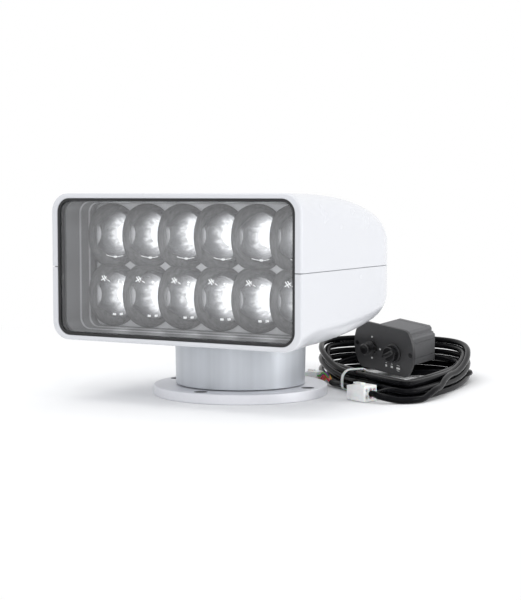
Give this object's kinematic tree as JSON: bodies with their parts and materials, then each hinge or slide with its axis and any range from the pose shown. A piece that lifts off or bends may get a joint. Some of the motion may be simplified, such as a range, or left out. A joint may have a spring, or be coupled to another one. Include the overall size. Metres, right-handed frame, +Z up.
{
  "type": "searchlight",
  "caption": "Remote-controlled marine searchlight: a white wide lamp head with domed lenses tilts on a panning turret over a round deck flange, with dash control and harness",
  "frame": {"origin": "on the pan axis, at the underside of the deck flange", "axes": "+Z up along the pan axis; the lamp head faces -Y at rest; +X to the right of someone who looks along +Y at the lamp's front"},
  "size_m": [0.31, 0.3749, 0.1904],
  "materials": {
    "white_shell": "satin white moulded case",
    "silver_paint": "silver-grey paint on cast metal",
    "flange_paint": "light silver-grey paint on cast metal",
    "black_rubber": "matt black rubber",
    "glass": "clear window",
    "shroud_grey": "metallised dark grey moulding",
    "tray_grey": "metallised light grey moulding",
    "lens": "clear moulded optic",
    "board": "circuit board",
    "aluminium": "plain aluminium",
    "steel": "plain steel",
    "bronze": "sintered bronze",
    "gear_nylon": "natural nylon",
    "panel_black": "charcoal textured panel",
    "box_grey": "dark grey moulded box",
    "knob_black": "black moulded knob",
    "cable_black": "black cable sheath",
    "nylon_white": "translucent white nylon",
    "wire_red": "coloured wire insulation, mainly red"
  },
  "bodies": {
    "base": {"base_flange": "flange_paint", "pan_gear": "gear_nylon", "pan_bush": "bronze", "pan_retainer": "steel", "pan_seal": "black_rubber", "cable_grommet": "black_rubber", "control_panel": "panel_black", "control_box": "box_grey", "panel_screw_1": "steel", "panel_screw_2": "steel", "unit_socket": "nylon_white", "cable_coil": "cable_black", "cable_tail_a": "cable_black", "cable_tail_b": "cable_black", "wire_bundle": "wire_red", "plug_a": "nylon_white", "plug_b": "nylon_white", "cable_tie": "nylon_white"},
    "turret": {"turret_housing": "silver_paint", "tilt_neck": "silver_paint", "neck_screw_1": "steel", "neck_screw_2": "steel", "tilt_bush_left": "bronze", "tilt_bush_right": "bronze", "tilt_sector": "gear_nylon", "pan_motor": "steel"},
    "pan_pinion": {"pan_pinion": "gear_nylon"},
    "head": {"upper_shell": "white_shell", "lower_shell": "white_shell", "case_screw_1": "steel", "case_screw_2": "steel", "case_screw_3": "steel", "case_screw_4": "steel", "window_glass": "glass", "window_seal": "black_rubber", "shroud": "shroud_grey", "lens_tray": "tray_grey", "lens_01": "lens", "lens_02": "lens", "lens_03": "lens", "lens_04": "lens", "lens_05": "lens", "lens_06": "lens", "lens_07": "lens", "lens_08": "lens", "lens_09": "lens", "lens_10": "lens", "lens_11": "lens", "lens_12": "lens", "led_board": "board", "heat_sink": "aluminium", "driver_board": "board", "tilt_shaft": "steel", "tilt_bracket": "aluminium", "tilt_motor": "steel"},
    "tilt_pinion": {"tilt_pinion": "gear_nylon"},
    "gimbal": {"stick_gimbal": "steel"},
    "joystick": {"joystick": "knob_black"},
    "knob": {"mode_knob": "knob_black"}
  },
  "joints": [
    {"name": "pan", "type": "hinge", "parent": "base", "child": "turret", "pos_m": [0, 0, 0], "axis": [0, 0, 1], "range_deg": [-185, 185]},
    {"name": "pan_pinion_spin", "type": "hinge", "parent": "turret", "child": "pan_pinion", "pos_m": [0.038, 0, 0], "axis": [0, 0, 1], "range_deg": [-700, 700]},
    {"name": "tilt", "type": "hinge", "parent": "turret", "child": "head", "pos_m": [0, 0, 0.06], "axis": [-1, 0, 0], "range_deg": [-12, 20]},
    {"name": "tilt_pinion_spin", "type": "hinge", "parent": "head", "child": "tilt_pinion", "pos_m": [0, 0, 0.1], "axis": [-1, 0, 0], "range_deg": [-70, 115]},
    {"name": "stick_up_down", "type": "hinge", "parent": "base", "child": "gimbal", "pos_m": [0.05318, 0.18585, 0.02944], "axis": [0.9479, -0.2992, -0.1093], "range_deg": [-15, 15], "stiffness_Nm_per_rad": 0.02},
    {"name": "stick_left_right", "type": "hinge", "parent": "gimbal", "child": "joystick", "pos_m": [0.05318, 0.18585, 0.02944], "axis": [0.0667, -0.1491, 0.9866], "range_deg": [-15, 15], "stiffness_Nm_per_rad": 0.02},
    {"name": "knob_turn", "type": "hinge", "parent": "base", "child": "knob", "pos_m": [0.08131, 0.17516, 0.02542], "axis": [-0.3114, -0.9425, -0.1214], "range_deg": [-40, 40]}
  ],
  "couplings": [
    {"joint": "pan_pinion_spin", "follows": "pan", "ratio": 3.75},
    {"joint": "tilt_pinion_spin", "follows": "tilt", "ratio": 5.6667}
  ]
}
